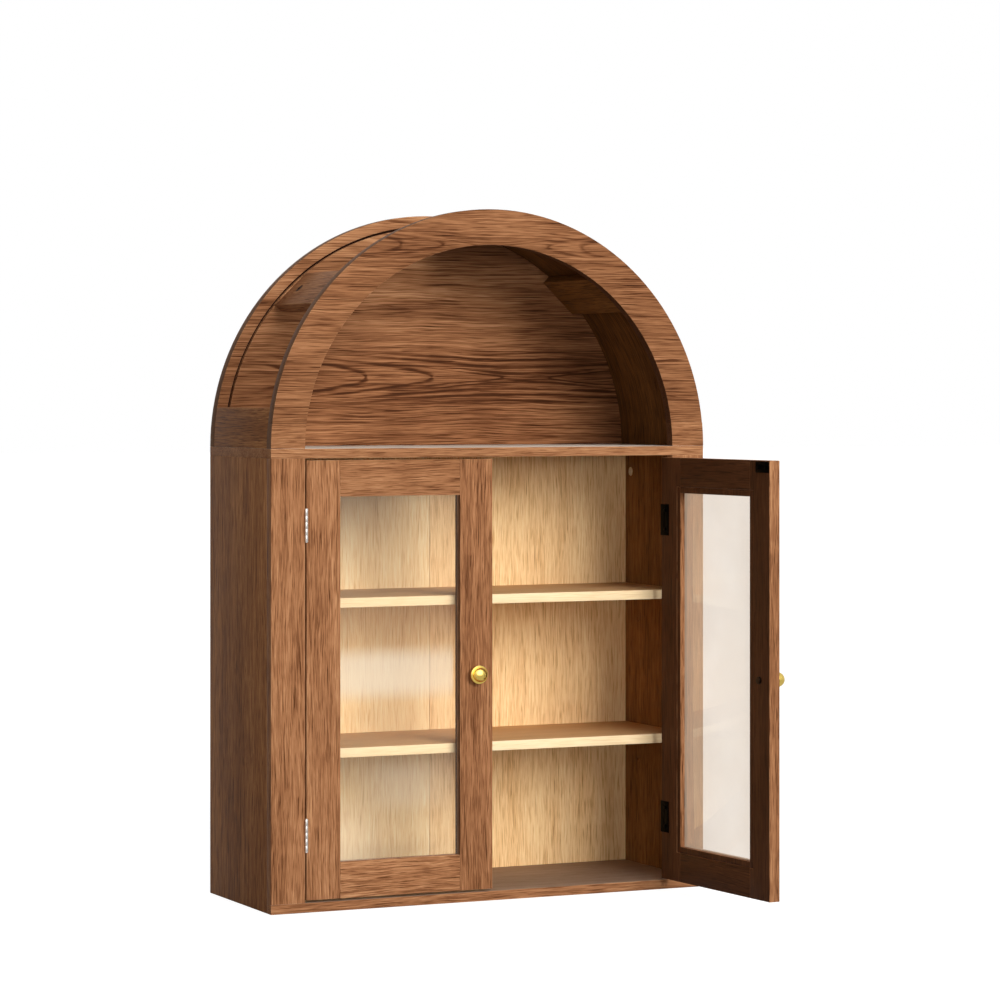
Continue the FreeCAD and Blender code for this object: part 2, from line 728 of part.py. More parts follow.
def door_frame(side):
    """Two stiles and two rails, rebated inside for the glass."""
    rebate = "rebate_width + overrun"
    low_cut = "door_low_z + door_rail_width - rebate_width"
    tall = "door_height - 2 * (door_rail_width - rebate_width)"
    deep = "rebate_depth + overrun"
    hinge_stile = door_board(side, "hinge_stile", ("door_edge", "door_face", "door_low_z"),
                             ("door_stile_width", "door_thick", "door_height"))
    cut_door_box(hinge_stile, side, ("rail_start - rebate_width", "glass_face", low_cut),
                 (rebate, deep, tall))
    cut_holes(hinge_stile, "y", "door_inside - flange_screw_depth - screw_clear",
              "flange_screw_depth + screw_clear + overrun", flange_screw_places(side),
              "leaf_screw_radius + screw_clear")
    free_start = "rail_start + rail_length"
    free_stile = door_board(side, "free_stile", (free_start, "door_face", "door_low_z"),
                            ("door_stile_width", "door_thick", "door_height"))
    cut_door_box(free_stile, side, (f"{free_start} - overrun", "glass_face", low_cut),
                 (rebate, deep, tall))
    cut_holes(free_stile, "y", "door_face - overrun", "door_thick + 2 * overrun",
              [(door_side(side, "knob_place"), "knob_z")],
              "knob_screw_radius + knob_screw_clear")
    cut_holes(free_stile, "y", "door_inside - flange_screw_depth - screw_clear",
              "flange_screw_depth + screw_clear + overrun", strike_screw_places(side),
              "leaf_screw_radius + screw_clear")
    for name, low_z, cut_z in (
            ("bottom_rail", "door_low_z", low_cut),
            ("top_rail", "door_high_z - door_rail_width",
             "door_high_z - door_rail_width - overrun")):
        rail = door_board(side, name, ("rail_start", "door_face", low_z),
                          ("rail_length", "door_thick", "door_rail_width"))
        cut_door_box(rail, side, ("rail_start - overrun", "glass_face", cut_z),
                     ("rail_length + 2 * overrun", deep, rebate))


def door_glass(side):
    """The pane in its rebate and the four beads that hold it."""
    edge = "rail_start - rebate_width + glass_clear"
    low = "door_low_z + door_rail_width - rebate_width + glass_clear"
    across = "rail_length + 2 * (rebate_width - glass_clear)"
    along = "door_height - 2 * (door_rail_width - rebate_width + glass_clear)"
    door_board(side, "glass", (edge, "glass_face", low), (across, "glass_thick", along))
    beads = new_body(side + "_glass_beads")
    stand_at_pivot(beads, side, True)
    sketch = new_sketch(beads, "y", "bead_face")
    bead = "rebate_width - glass_clear"
    for start in (edge, "rail_start + rail_length"):
        add_rectangle(sketch, inward(side, start, bead), low, bead, along)
    length = "rail_length - 2 * bead_clear"
    for start in (low, "door_high_z - door_rail_width"):
        add_rectangle(sketch, inward(side, "rail_start + bead_clear", length), start,
                      length, bead)
    pad(beads, sketch, "y", "bead_depth")


def flange_screw_places(side):
    return [(door_side(side, "door_edge + flange_screw_inset"), height)
            for height in leaf_screw_heights()]


def strike_screw_places(side):
    return [(door_side(side, u), "strike_z + strike_height / 2")
            for u in ("strike_start + strike_screw_inset",
                      "strike_start + strike_width - strike_screw_inset")]


def knob(side):
    """A turned knob: foot, neck, rim, groove and dome, and its screw from inside."""
    body = new_body(side + "_knob")
    stand_at_pivot(body, side, True)
    sketch = new_sketch(body, "z", "knob_z", middle=door_side(side, "knob_place"))
    rim_back = "door_face - knob_length + knob_dome_radius + knob_groove_width + knob_rim_thick"
    outline = [("0", "door_face"), ("knob_foot_radius", "door_face"),
               ("knob_neck_radius", f"({rim_back} + door_face) / 2"),
               ("knob_rim_radius", rim_back),
               ("knob_rim_radius", f"{rim_back} - knob_rim_thick"),
               ("knob_dome_radius - knob_groove_depth", f"{rim_back} - knob_rim_thick"),
               ("knob_dome_radius - knob_groove_depth",
                f"{rim_back} - knob_rim_thick - knob_groove_width"),
               ("knob_dome_radius", f"{rim_back} - knob_rim_thick - knob_groove_width")]
    points = [FreeCAD.Vector(amount(radius), amount(depth), 0) for radius, depth in outline]
    for place in range(len(points) - 1):
        sketch.addGeometry(Part.LineSegment(points[place], points[place + 1]))
    last = len(points) - 1
    dome = Part.Circle(FreeCAD.Vector(0, points[-1].y, 0), FreeCAD.Vector(0, 0, 1),
                       points[-1].x)
    sketch.addGeometry(Part.ArcOfCircle(dome, -math.pi / 2, 0))
    sketch.addGeometry(Part.LineSegment(FreeCAD.Vector(0, points[-1].y - points[-1].x, 0),
                                        points[0]))
    for place in range(last - 1):
        tie(sketch, "Coincident", place, 2, place + 1, 1)
    tie(sketch, "Coincident", last - 1, 2, last, 2)
    tie(sketch, "Coincident", last, 1, last + 1, 1)
    tie(sketch, "Coincident", last + 1, 2, 0, 1)
    tie(sketch, "PointOnObject", last, 3, -2)
    tie(sketch, "PointOnObject", last, 1, -2)
    for place, (radius, depth) in enumerate(outline):
        line, end = (place, 1) if place < last else (last - 1, 2)
        dimension(sketch, "DistanceX", (-1, 1, line, end), f"radius_{place}", radius)
        dimension(sketch, "DistanceY", (-1, 1, line, end), f"depth_{place}", depth)
    dimension(sketch, "DistanceY", (-1, 1, last, 3), "dome_depth", outline[-1][1])
    turned = body.newObject("PartDesign::Revolution", body.Name + "_turned")
    turned.Profile = sketch
    turned.ReferenceAxis = (sketch, ["V_Axis"])
    turned.Angle = 2 * HALF_TURN
    centre = [(door_side(side, "knob_place"), "knob_z")]
    cut_holes(body, "y", "door_face - knob_screw_bite - knob_screw_clear",
              "knob_screw_bite + knob_screw_clear + overrun", centre,
              "knob_screw_radius + screw_clear")
    screw = new_body(side + "_knob_screw")
    stand_at_pivot(screw, side, True)
    add_rods(screw, "y", "door_face - knob_screw_bite", "knob_screw_bite + door_thick", centre,
             "knob_screw_radius")
    add_rods(screw, "y", "door_inside", "knob_screw_head_thick", centre,
             "knob_screw_head_radius")


def strike(side):
    """The black plate that the catch holds, on the door's inside at the top."""
    body = door_board(side, "strike_plate", ("strike_start", "door_inside", "strike_z"),
                      ("strike_width", "strike_thick", "strike_height"))
    cut_holes(body, "y", "door_inside - overrun", "strike_thick + 2 * overrun",
              strike_screw_places(side), "leaf_screw_radius + screw_clear")


def knuckle_cuts(body, gone, low_z):
    """Cut the barrel away where the other leaf has its knuckles."""
    sketch = new_sketch(body, "y", "-barrel_room", level=low_z)
    for turn in gone:
        start = f"{turn} * knuckle_pitch - knuckle_gap / 2" if turn else "-overrun"
        length = "knuckle_pitch + knuckle_gap" if 0 < turn < KNUCKLES - 1 else \
            "knuckle_pitch + knuckle_gap / 2 + overrun"
        add_rectangle(sketch, "-barrel_room", start, "2 * barrel_room", length)
    pocket(body, sketch, "y", "2 * barrel_room")
    cut_holes(body, "z", f"{low_z} - overrun", "hinge_height + 2 * overrun", [("0", "0")],
              "hinge_pin_radius + hinge_pin_clear")


def hinge(side, level, low_z):
    """An inset hinge: a leaf on the stile's edge, and one that wraps the door's edge."""
    frame = new_body(f"{side}_{level}_frame_leaf")
    stand_at_pivot(frame, side, False)
    plate_start = inward(side, "-hinge_gap / 2", "leaf_thick")
    add_box(frame, (plate_start, "0", low_z),
            ("leaf_thick", "barrel_standoff + frame_thick", "hinge_height"))
    add_rods(frame, "z", low_z, "hinge_height", [("0", "0")], "barrel_radius")
    knuckle_cuts(frame, range(1, KNUCKLES, 2), low_z)
    heights = leaf_screw_heights()[:2] if level == "lower" else leaf_screw_heights()[2:]
    places = [("barrel_standoff + frame_thick / 2", height) for height in heights]
    cut_holes(frame, "x", inward(side, "-hinge_gap", "2 * hinge_gap"), "2 * hinge_gap",
              places, "leaf_screw_radius + screw_clear")
    sunk = "leaf_screw_head_thick + overrun"
    cut_holes(frame, "x",
              inward(side, "leaf_thick - hinge_gap / 2 - leaf_screw_head_thick", sunk), sunk,
              places, "leaf_screw_head_radius + screw_clear")
    leaf = new_body(f"{side}_{level}_door_leaf")
    stand_at_pivot(leaf, side, True)
    add_box(leaf, (inward(side, "door_edge - leaf_thick", "leaf_thick"), "0", low_z),
            ("leaf_thick", "door_inside + leaf_thick", "hinge_height"))
    add_box(leaf, (inward(side, "door_edge - leaf_thick", "flange_width + leaf_thick"),
                   "door_inside", low_z),
            ("flange_width + leaf_thick", "leaf_thick", "hinge_height"))
    add_rods(leaf, "z", low_z, "hinge_height", [("0", "0")], "barrel_radius")
    knuckle_cuts(leaf, range(0, KNUCKLES, 2), low_z)
    places = [place for place in flange_screw_places(side) if place[1] in heights]
    cut_holes(leaf, "y", "door_inside - overrun", "leaf_thick + 2 * overrun", places,
              "leaf_screw_radius + screw_clear")


def hinge_pins():
    """The four hinge pins, headed at both ends."""
    body = new_body("hinge_pins")
    reach = "hinge_height + 2 * pin_head_gap"
    features = []
    for low_z in ("lower_hinge_z", "upper_hinge_z"):
        features.append(add_rods(body, "z", f"{low_z} - pin_head_gap", reach,
                                 [("pivot_x", "pivot_y")], "hinge_pin_radius"))
        for start in (f"{low_z} - pin_head_gap - pin_head_thick",
                      f"{low_z} + hinge_height + pin_head_gap"):
            features.append(add_rods(body, "z", start, "pin_head_thick",
                                     [("pivot_x", "pivot_y")], "pin_head_radius"))
    mirror_across(body, features)


def frame_leaf_screws():
    """Flush screws through the frame leaves into the stiles."""
    body = new_body("frame_leaf_screws")
    heads = add_rods(body, "x", "opening_x - leaf_thick", "leaf_screw_head_thick",
                     frame_screw_places(), "leaf_screw_head_radius")
    shanks = add_rods(body, "x", "opening_x - leaf_thick + leaf_screw_head_thick",
                      "leaf_screw_depth + leaf_thick - leaf_screw_head_thick",
                      frame_screw_places(), "leaf_screw_radius")
    mirror_across(body, [heads, shanks])


def door_screws(side):
    """Screws through the door leaves and the strike plate into the door's inside."""
    body = new_body(side + "_door_screws")
    stand_at_pivot(body, side, True)
    for places, plate in ((flange_screw_places(side), "leaf_thick"),
                          (strike_screw_places(side), "strike_thick")):
        add_rods(body, "y", "door_inside - flange_screw_depth",
                 f"flange_screw_depth + {plate}", places, "leaf_screw_radius")
        add_rods(body, "y", f"door_inside + {plate}", "flange_screw_head_thick", places,
                 "flange_screw_head_radius")


def check_and_write():
    """Stop if anything failed, then write each sub-part to its own file."""
    doc.recompute()
    failed = [item.Label for item in doc.Objects
              if "Invalid" in item.State or "Error" in item.State]
    for body in subparts:
        if body.Shape.isNull() or not body.Shape.isValid() or not body.Shape.Solids:
            failed.append(body.Label)
    if failed:
        raise RuntimeError("failed: " + ", ".join(failed))
    os.makedirs("parts", exist_ok=True)
    for body in subparts:
        body.Shape.exportStep(os.path.join("parts", body.Label + ".step"))
    print(len(subparts), "sub-parts written")


bottom_board()
deck_board()
for cabinet_side in SIDES:
    side_panel(cabinet_side)
    front_stile(cabinet_side)
back_panels()
back_rails()
wall_hangers()
shelves()
arch_ring()
arch_back_board()
base_rails()
arch_skin()
battens()
side_cam_locks()
catches()
for cabinet_side in SIDES:
    door_frame(cabinet_side)
    door_glass(cabinet_side)
    knob(cabinet_side)
    strike(cabinet_side)
    door_screws(cabinet_side)
    hinge(cabinet_side, "lower", "lower_hinge_z")
    hinge(cabinet_side, "upper", "upper_hinge_z")
hinge_pins()
frame_leaf_screws()
check_and_write()
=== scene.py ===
import json
import math

import bmesh
import bpy
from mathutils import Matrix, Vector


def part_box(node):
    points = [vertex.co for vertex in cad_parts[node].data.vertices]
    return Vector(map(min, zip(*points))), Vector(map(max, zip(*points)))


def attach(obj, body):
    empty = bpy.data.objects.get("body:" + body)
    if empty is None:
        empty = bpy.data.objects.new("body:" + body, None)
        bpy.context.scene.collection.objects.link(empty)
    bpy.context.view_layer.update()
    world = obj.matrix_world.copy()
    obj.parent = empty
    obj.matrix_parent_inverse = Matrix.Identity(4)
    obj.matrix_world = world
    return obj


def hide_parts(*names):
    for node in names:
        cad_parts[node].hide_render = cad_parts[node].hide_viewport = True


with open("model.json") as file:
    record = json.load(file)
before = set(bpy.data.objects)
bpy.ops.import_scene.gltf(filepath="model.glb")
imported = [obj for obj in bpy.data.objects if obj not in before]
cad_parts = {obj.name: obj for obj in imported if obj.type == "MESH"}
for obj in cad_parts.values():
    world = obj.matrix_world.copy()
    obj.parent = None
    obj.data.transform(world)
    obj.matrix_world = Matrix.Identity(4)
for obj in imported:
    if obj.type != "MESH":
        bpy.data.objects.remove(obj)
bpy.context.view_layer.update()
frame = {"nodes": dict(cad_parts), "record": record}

# Arched display cabinet in walnut veneer, with a light oak back and shelves. The left door is
# shut and the right door stands open. Places come from the frame's own boxes, in metres.

MM = 0.001
BODIES = frame["record"]["behaviour"]["bodies"]
BODY_OF = {node: body for body, nodes in BODIES.items() for node in nodes}
SLOTS = {row["node"]: row["material_slot"] for row in frame["record"]["subparts"]}

DOOR_OPEN = math.radians(94.0)
BACK_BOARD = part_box("arch_back_board")
ARCH_CENTRE_Z = BACK_BOARD[0].z
ARCH_RADIUS = BACK_BOARD[1].x
BACK_BOARD_FRONT_Y = BACK_BOARD[0].y
SKIN_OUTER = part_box("arch_skin")[1].x
RING_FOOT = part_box("right_ring_foot")
RING_INNER = math.hypot(RING_FOOT[0].x, RING_FOOT[1].z - ARCH_CENTRE_Z)
PANE_END_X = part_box("left_free_stile")[0].x

BUMP_DEPTH = 0.1 * MM


class Graph:
    """The nodes of one material or world, with short calls to add and join them."""

    def __init__(self, owner):
        self.owner = owner
        owner.use_nodes = True
        self.nodes = owner.node_tree.nodes
        self.links = owner.node_tree.links
        self.nodes.clear()

    def put(self, socket, value):
        """Join a socket to another one, or set its number or colour."""
        if isinstance(value, bpy.types.NodeSocket):
            self.links.new(value, socket)
        else:
            socket.default_value = value

    def node(self, kind, inputs=(), **settings):
        """Add a node. Inputs are given by name or by number, and settings by name."""
        made = self.nodes.new(kind)
        for name, setting in settings.items():
            setattr(made, name, setting)
        for key, value in dict(inputs).items():
            self.put(made.inputs[key], value)
        return made

    def calc(self, operation, *values):
        return self.node("ShaderNodeMath", enumerate(values), operation=operation).outputs[0]

    def step(self, value, low, high, low_out=0.0, high_out=1.0):
        """Go smoothly from one output to another while the input goes from low to high."""
        return self.node("ShaderNodeMapRange", {
            "Value": value, "From Min": low, "From Max": high, "To Min": low_out,
            "To Max": high_out}, interpolation_type="SMOOTHSTEP").outputs[0]

    def noise(self, vector, scale=1.0, detail=2.0, roughness=0.5):
        return self.node("ShaderNodeTexNoise", {
            "Vector": vector, "Scale": scale, "Detail": detail,
            "Roughness": roughness}).outputs[0]

    def blend(self, share, first, second):
        """Mix two colours."""
        return self.node("ShaderNodeMix", {"Factor": share, 6: first, 7: second},
                         data_type="RGBA").outputs[2]

    def cover(self, share, below, above):
        """Mix two shaders."""
        return self.node("ShaderNodeMixShader", {0: share, 1: below, 2: above}).outputs[0]

    def ramp(self, value, stops):
        made = self.node("ShaderNodeValToRGB", {"Fac": value})
        marks = made.color_ramp.elements
        marks[0].position, marks[0].color = stops[0]
        marks[1].position, marks[1].color = stops[-1]
        for place, colour in stops[1:-1]:
            marks.new(place).color = colour
        return made.outputs[0]

    def split(self, vector):
        return self.node("ShaderNodeSeparateXYZ", {"Vector": vector}).outputs

    def join(self, *parts):
        return self.node("ShaderNodeCombineXYZ", enumerate(parts)).outputs[0]

    def place(self, turn=0.0):
        """Give the place on the object, turned back about Z if its piece stands turned."""
        where = self.node("ShaderNodeTexCoord").outputs["Object"]
        if turn:
            where = self.node("ShaderNodeMapping", {
                "Vector": where, "Rotation": (0.0, 0.0, -turn)}).outputs[0]
        return where

    def facing(self, turn):
        """Give the parts of the surface's direction in the piece's own axes."""
        way = self.node("ShaderNodeTexCoord").outputs["Normal"]
        if turn:
            way = self.node("ShaderNodeMapping", {
                "Vector": way, "Rotation": (0.0, 0.0, -turn)}, vector_type="NORMAL").outputs[0]
        return self.split(way)

    def bump(self, height, strength):
        return self.node("ShaderNodeBump", {
            "Height": height, "Strength": strength, "Distance": BUMP_DEPTH}).outputs[0]

    def finish(self, shader, output="ShaderNodeOutputMaterial"):
        self.node(output, {"Surface": shader})
        return self.owner

    def surface(self, **inputs):
        """Finish with one surface shader, whose sockets are named with underscores."""
        named = {name.replace("_", " ").title().replace("Ior", "IOR"): value
                 for name, value in inputs.items()}
        return self.finish(self.node("ShaderNodeBsdfPrincipled", named).outputs[0])


def srgb(red, green, blue):
    """Give a colour that is written as it looks on screen, from 0 to 255, in linear light."""
    def linear(level):
        level /= 255
        return level / 12.92 if level <= 0.04045 else ((level + 0.055) / 1.055) ** 2.4
    return (linear(red), linear(green), linear(blue), 1.0)


# Wood colours from the darkest lines to the lightest wood
WALNUT = ((0.0, srgb(64, 36, 20)), (0.25, srgb(102, 62, 38)), (0.5, srgb(138, 92, 61)),
          (0.75, srgb(167, 117, 81)), (1.0, srgb(197, 148, 108)))
INSIDE_WALNUT = ((0.0, srgb(47, 24, 12)), (0.4, srgb(73, 43, 24)), (0.7, srgb(89, 54, 32)),
                 (1.0, srgb(112, 72, 46)))
# Painted shade: a darker, redder walnut for surfaces that stand in shade, the side panels' inner
# faces, the arch skin and the right batten
SHADED_RED_WALNUT = ((0.0, srgb(58, 33, 15)), (0.4, srgb(114, 75, 38)), (0.7, srgb(138, 95, 52)),
              (1.0, srgb(166, 120, 74)))
SIDE_WALNUT = ((0.0, srgb(60, 33, 15)), (0.5, srgb(138, 88, 52)), (1.0, srgb(200, 143, 94)))
OAK = ((0.0, srgb(190, 142, 92)), (0.3, srgb(228, 184, 130)), (0.55, srgb(244, 207, 154)),
       (0.8, srgb(252, 223, 172)), (1.0, srgb(255, 235, 194)))
# Painted shade: a darker oak for the shelves' tops
SHADED_OAK_TOP = ((0.0, srgb(176, 132, 88)), (1.0, srgb(218, 176, 128)))
PALE_OAK = ((0.0, srgb(222, 184, 134)), (0.5, srgb(246, 220, 176)), (1.0, srgb(255, 236, 200)))
# Painted sheen: greyer, paler colours for the bottom board's and the deck's tops, standing in for
# the sheen they catch at a grazing angle
GREY_SHEEN_TOP = ((0.0, srgb(120, 94, 76)), (1.0, srgb(176, 150, 132)))
PALE_SHEEN_TOP = ((0.0, srgb(208, 190, 176)), (1.0, srgb(240, 230, 220)))
EDGE_BAND = ((0.0, srgb(78, 50, 32)), (1.0, srgb(130, 92, 64)))
# Painted shade for the back board's groove
GROOVE_SHADE_COLOUR = srgb(38, 20, 11)

# The wood's noise fields: waves per millimetre along and across the grain, detail, roughness,
# and a shift along the grain that keeps the fields apart
FIELDS = {
    "sway": (0.005, 0.012, 2.0, 0.5, 0.0),
    "ripple": (0.018, 0.05, 1.0, 0.5, 9.0),
    "slow": (0.004, 0.03, 1.0, 0.5, 0.0),
    "band": (0.004, 0.13, 1.0, 0.5, 2.0),
    "streak": (0.026, 0.62, 3.0, 0.75, 3.0),
    "strand": (0.014, 0.36, 1.0, 0.5, 5.0),
    "pores": (0.03, 1.0, 1.0, 0.5, 11.0),
    "broken": (0.02, 0.4, 2.0, 0.5, 13.0),
}
NOISE_MIDDLE = 0.5

# How far the sway and the ripple push the grain and its growth lines aside, in millimetres
GRAIN_SWAY = 12.0
GRAIN_RIPPLE = 2.0
LINE_SWAY = 10.0
LINE_RIPPLE = 3.0

# How much lighter the wood gets where a field is high, and how much darker its marks are
LIGHTER = {"slow": 0.42, "band": 0.38, "streak": 1.15}
DARKER = {"strand": 0.20, "pores": 0.32, "lines": 0.52}

# Where each board's grain starts in the fields, for each step of its seed
SEED_SHIFTS = (370.0, 110.0, 230.0)

# The growth lines: their half width in millimetres, the roundness of an arrow's tip, and the
# slopes and the place along the grain at which they fade out and in
LINE_HALF_WIDTH = 3.6
TIP_ROUNDNESS = 0.2
LEAST_SLOPE = 0.08
STEEP_SLOPES = (2.4, 1.5)
LINES_START = (-250.0, -200.0)
LINES_FULL_SHARE = 0.4

# The dark bands on the arched front's and the back board's rims, and the painted shade in the
# back board's groove
OUTER_BAND = (ARCH_RADIUS - 3 * MM, ARCH_RADIUS - 2 * MM)
INNER_BAND = (RING_INNER + 2 * MM, RING_INNER + MM)
RIM_SLOPES = (0.8, 0.5)
GROOVE_MIDDLE = SKIN_OUTER - 1.5 * MM
GROOVE_HALF_WIDTH = (1.7 * MM, 1.3 * MM)
GROOVE_START = (BACK_BOARD_FRONT_Y, BACK_BOARD_FRONT_Y + 0.4 * MM)

FACE_SLOPES = (0.6, 0.8)
# How much lighter the rounded edges get, and where along the bands: partly wear, partly a painted
# highlight along the edges
EDGE_WEAR_AND_HIGHLIGHT_BANDS = (0.35, 0.6)
EDGE_WEAR_AND_HIGHLIGHT = 0.22
FAINT_EDGE_WEAR_AND_HIGHLIGHT = 0.06
VENEER_ROUGHNESS = (0.50, 0.62)
VENEER_SHINE = 0.08
VENEER_BUMP = 0.25
STREAK_RELIEF = 0.8


def local_parts(graph, along, turn):
    """Give the places along and across the grain in millimetres, and x, y and the height."""
    x, y, z = graph.split(graph.place(turn))
    height = graph.calc("SUBTRACT", z, ARCH_CENTRE_Z)
    if along == "arc":
        run = graph.calc("MULTIPLY", graph.calc("ARCTAN2", height, x), ARCH_RADIUS)
        parts = (run, y, 0.0)
    else:
        parts = {"x": (x, z, y), "y": (y, z, x), "z": (z, x, y)}[along]
    return [graph.calc("MULTIPLY", part, 1 / MM) for part in parts], x, y, height


def grain(graph, parts, seed, figure, coarse, long):
    """Give the wood's slow bands, streaks, dark strands, growth lines and pores."""
    run, across, deep = (graph.calc("ADD", part, seed * shift)
                         for part, shift in zip(parts, SEED_SHIFTS))

    def field(name, across=across, coarse=1.0, long=1.0):
        along_waves, across_waves, detail, roughness, shift = FIELDS[name]
        place = graph.join(graph.calc("MULTIPLY_ADD", run, along_waves / long, shift),
                           graph.calc("MULTIPLY", across, across_waves / coarse),
                           graph.calc("MULTIPLY", deep, across_waves / coarse))
        return graph.noise(place, detail=detail, roughness=roughness)

    sway = graph.calc("SUBTRACT", field("sway"), NOISE_MIDDLE)
    ripple = graph.calc("SUBTRACT", field("ripple"), NOISE_MIDDLE)
    bent = graph.calc("ADD", across, graph.calc("MULTIPLY_ADD", ripple, GRAIN_RIPPLE,
                                                graph.calc("MULTIPLY", sway, GRAIN_SWAY)))
    bands = {
        "slow": field("slow", bent, coarse),
        "band": field("band", bent, coarse),
        "streak": field("streak", bent, coarse, long),
        "strand": graph.step(field("strand", bent, coarse, long), 0.57, 0.70),
        "pores": graph.step(field("pores", bent, long=long), 0.54, 0.62),
    }
    if figure:
        lines = growth_lines(graph, parts, sway, ripple, *figure)
        broken = graph.step(field("broken"), 0.30, 0.60, 0.35, 1.0)
        bands["lines"] = graph.calc("MULTIPLY", lines, broken)
    return bands


def growth_lines(graph, parts, sway, ripple, centre_run, centre_across, taper, spacing, offset,
                 reach, strength):
    """Give thin dark lines in arrow shapes that point at each other, as in flat-sawn wood.

    The centre, spacing and reach are in millimetres. The lines lie spacing apart, up to reach
    on both sides of the centre, and offset slides them by a share of it.
    """
    away = graph.calc("SUBTRACT", parts[0], centre_run)
    side = graph.calc("MULTIPLY_ADD", sway, LINE_SWAY,
                      graph.calc("SUBTRACT", parts[1], centre_across))
    squared = graph.calc("MULTIPLY", away, away)
    wide = graph.calc("MULTIPLY", side, side)
    core = graph.calc("MULTIPLY_ADD", squared, -taper, wide)
    size = graph.calc("SQRT", graph.calc("ADD", graph.calc("ABSOLUTE", core), TIP_ROUNDNESS))
    rings = graph.calc("MULTIPLY_ADD", ripple, LINE_RIPPLE,
                       graph.calc("MULTIPLY", size, graph.calc("SIGN", core)))
    turn = graph.calc("FRACT", graph.calc("MULTIPLY_ADD", rings, 1 / spacing, offset))
    slope = graph.calc("DIVIDE", graph.calc("SQRT", graph.calc(
        "MULTIPLY_ADD", squared, taper * taper, wide)), size)
    off_line = graph.calc("MULTIPLY", graph.calc("ABSOLUTE", graph.calc("SUBTRACT", turn, 0.5)),
                          spacing)
    off_line = graph.calc("DIVIDE", off_line, graph.calc("MAXIMUM", slope, LEAST_SLOPE))
    line = graph.calc("MULTIPLY", graph.step(off_line, LINE_HALF_WIDTH, 0.0),
                      graph.step(slope, *STEEP_SLOPES))
    line = graph.calc("MULTIPLY", line, graph.step(parts[0], *LINES_START))
    return graph.calc("MULTIPLY", line, graph.step(graph.calc("ABSOLUTE", side), reach,
                                                   reach * LINES_FULL_SHARE, 0.0, strength))


def lightness(graph, bands, contrast, level):
    """Add the bands up into one value, from the darkest to the lightest wood."""
    value = level
    for name, share in LIGHTER.items():
        part = graph.calc("SUBTRACT", bands[name], NOISE_MIDDLE)
        value = graph.calc("MULTIPLY_ADD", part, share * contrast, value)
    for name, share in DARKER.items():
        if name in bands:
            value = graph.calc("MULTIPLY_ADD", bands[name], -share * contrast, value)
    return value


def wood(name, along, colours=WALNUT, seed=0.0, turn=0.0, figure=None, coarse=1.0,
         long=1.0, contrast=1.0, level=0.67, rise=0.0, wear=EDGE_WEAR_AND_HIGHLIGHT, faces=(), band=False,
         groove=False):
    """Make a veneer. Each of faces is (axis, sign, colours): other colours for one side alone,
    which on some boards are painted shade or painted sheen.

    The wood gets lighter by rise for each metre up from the arch's centre: painted light that
    evens out the shade the arch casts on its back board.
    """
    graph = Graph(bpy.data.materials.new(name))
    parts, x, y, height = local_parts(graph, along, turn)
    bands = grain(graph, parts, seed, figure, coarse, long)
    # Lighter rounded edges: partly wear, partly a painted highlight
    edge_wear_and_highlight = graph.node("ShaderNodeAttribute", attribute_name="edge").outputs["Fac"]
    edge_wear_and_highlight = graph.calc("MULTIPLY", edge_wear_and_highlight, graph.step(bands["band"], *EDGE_WEAR_AND_HIGHLIGHT_BANDS))
    value = graph.calc("MULTIPLY_ADD", edge_wear_and_highlight, wear, lightness(graph, bands, contrast, level))
    # Painted light: lighter towards the top, against the arch's shade
    if rise:
        value = graph.calc("MULTIPLY_ADD", height, rise, value)
    colour = graph.ramp(value, colours)
    if faces or band:
        facing = graph.facing(turn)
    for axis, sign, other in faces:
        part = graph.calc("MULTIPLY", facing["XYZ".index(axis)], sign)
        colour = graph.blend(graph.step(part, *FACE_SLOPES), colour, graph.ramp(value, other))
    if band or groove:
        radius = graph.calc("SQRT", graph.calc("ADD", graph.calc("MULTIPLY", x, x),
                                               graph.calc("MULTIPLY", height, height)))
    if band:
        rim = graph.step(graph.calc("ABSOLUTE", facing[1]), *RIM_SLOPES)
        for reach, other in ((OUTER_BAND, EDGE_BAND), (INNER_BAND, INSIDE_WALNUT)):
            share = graph.calc("MULTIPLY", rim, graph.step(radius, *reach))
            colour = graph.blend(share, colour, graph.ramp(value, other))
    # Painted shade: a dark line at the groove's radius. It covers every face behind the back
    # board's front face, so it also shows on the rear face.
    if groove:
        middle = graph.calc("ABSOLUTE", graph.calc("SUBTRACT", radius, GROOVE_MIDDLE))
        groove_shade_share = graph.calc("MULTIPLY", graph.step(middle, *GROOVE_HALF_WIDTH),
                            graph.step(y, *GROOVE_START))
        colour = graph.blend(groove_shade_share, colour, GROOVE_SHADE_COLOUR)
    relief = graph.calc("MULTIPLY_ADD", bands["pores"], -1.0,
                        graph.calc("MULTIPLY", bands["streak"], STREAK_RELIEF))
    rough = graph.step(bands["streak"], 0.3, 0.7, *VENEER_ROUGHNESS)
    return graph.surface(base_color=colour, roughness=rough, specular_ior_level=VENEER_SHINE,
                         normal=graph.bump(relief, VENEER_BUMP))


MARKS_SCALE = 900.0
CLOUDS_SCALE = 60.0
DULL_SHARE = 0.6
MARKS_ROUGHNESS = (0.75, 1.3)
MARKS_BUMP = 0.06


